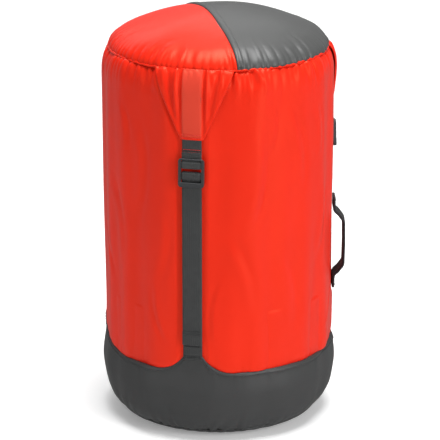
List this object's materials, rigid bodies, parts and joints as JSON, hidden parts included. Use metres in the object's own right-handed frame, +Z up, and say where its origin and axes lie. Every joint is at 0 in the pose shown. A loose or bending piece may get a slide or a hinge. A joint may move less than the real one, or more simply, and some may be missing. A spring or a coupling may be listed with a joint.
{
  "type": "compression sack",
  "caption": "Round compression sack with a drawcord neck, a two-colour lid that webbing straps pull down through ladder-lock buckles, a scalloped base and a side handle.",
  "frame": {"origin": "centre of the flat underside, on the surface the sack stands on", "axes": "+Z up along the sack's axis, -Y towards the front strap's side, +X to the handle"},
  "size_m": [0.2535, 0.2469, 0.433],
  "materials": {
    "red_fabric": "satin nylon, plain weave",
    "grey_fabric": "satin nylon, plain weave",
    "seam_tape": "matte woven tape",
    "cord": "braided cord",
    "grey_webbing": "ribbed woven webbing",
    "black_webbing": "ribbed woven webbing",
    "grey_plastic": "moulded acetal, slight gloss",
    "black_plastic": "moulded nylon",
    "spring_steel": "drawn wire"
  },
  "bodies": {
    "sack": {"base_disc": "grey_fabric", "base_panel": "grey_fabric", "side_panel": "red_fabric", "base_piping": "grey_fabric", "base_seam_tape": "seam_tape", "side_seam_tape": "seam_tape", "neck_collar": "red_fabric", "drawcord_channel": "red_fabric", "drawcord": "cord", "cord_end": "black_plastic", "handle_lower_anchor": "black_webbing", "handle_upper_anchor": "black_webbing", "front_load_strap": "grey_webbing", "right_load_strap": "grey_webbing", "left_load_strap": "grey_webbing"},
    "lid": {"lid_red_panel": "red_fabric", "lid_grey_panel": "grey_fabric", "lid_rim_binding": "red_fabric", "lid_seam_tape": "seam_tape", "front_tab": "red_fabric", "front_tab_webbing": "grey_webbing", "right_tab": "red_fabric", "right_tab_webbing": "grey_webbing", "left_tab": "red_fabric", "left_tab_webbing": "grey_webbing"},
    "handle": {"side_handle": "black_webbing"},
    "cord_lock": {"cord_lock_barrel": "black_plastic", "cord_lock_spring": "spring_steel"},
    "lock_button": {"cord_lock_plunger": "black_plastic"},
    "front_buckle": {"front_buckle": "grey_plastic", "front_buckle_loop": "grey_webbing", "front_strap_turn": "grey_webbing"},
    "front_tail": {"front_tail": "grey_webbing"},
    "right_buckle": {"right_buckle": "grey_plastic", "right_buckle_loop": "grey_webbing", "right_strap_turn": "grey_webbing"},
    "right_tail": {"right_tail": "grey_webbing"},
    "left_buckle": {"left_buckle": "grey_plastic", "left_buckle_loop": "grey_webbing", "left_strap_turn": "grey_webbing"},
    "left_tail": {"left_tail": "grey_webbing"}
  },
  "joints": [
    {"name": "lid_lift", "type": "slide", "parent": "sack", "child": "lid", "axis": [0, 0, 1], "range_m": [0, 0.11], "deforming": ["front_load_strap", "right_load_strap", "left_load_strap"]},
    {"name": "handle_flop", "type": "hinge", "parent": "sack", "child": "handle", "pos_m": [0.1265, 0, 0.182], "axis": [0, 0, 1], "range_deg": [-20, 20]},
    {"name": "cord_lock_slide", "type": "slide", "parent": "sack", "child": "cord_lock", "axis": [0, -1, 0], "range_m": [0, 0.012]},
    {"name": "lock_button_press", "type": "slide", "parent": "cord_lock", "child": "lock_button", "axis": [-1, 0, 0], "range_m": [0, 0.004], "stiffness_N_per_m": 400, "springref_m": -0.002, "deforming": ["cord_lock_spring"]},
    {"name": "front_buckle_tilt", "type": "hinge", "parent": "lid", "child": "front_buckle", "pos_m": [-0.02628, -0.11852, 0.3096], "axis": [-0.9763, 0.2164, 0], "range_deg": [0, 35]},
    {"name": "front_tail_swing", "type": "hinge", "parent": "front_buckle", "child": "front_tail", "pos_m": [-0.02664, -0.12018, 0.27705], "axis": [-0.9763, 0.2164, 0], "range_deg": [0, 60]},
    {"name": "right_buckle_tilt", "type": "hinge", "parent": "lid", "child": "right_buckle", "pos_m": [0.11578, 0.03651, 0.3096], "axis": [0.3007, -0.9537, 0], "range_deg": [0, 35]},
    {"name": "right_tail_swing", "type": "hinge", "parent": "right_buckle", "child": "right_tail", "pos_m": [0.1174, 0.03702, 0.27705], "axis": [0.3007, -0.9537, 0], "range_deg": [0, 60]},
    {"name": "left_buckle_tilt", "type": "hinge", "parent": "lid", "child": "left_buckle", "pos_m": [-0.08951, 0.08202, 0.3096], "axis": [0.6756, 0.7373, 0], "range_deg": [0, 35]},
    {"name": "left_tail_swing", "type": "hinge", "parent": "left_buckle", "child": "left_tail", "pos_m": [-0.09076, 0.08317, 0.27705], "axis": [0.6756, 0.7373, 0], "range_deg": [0, 60]}
  ]
}
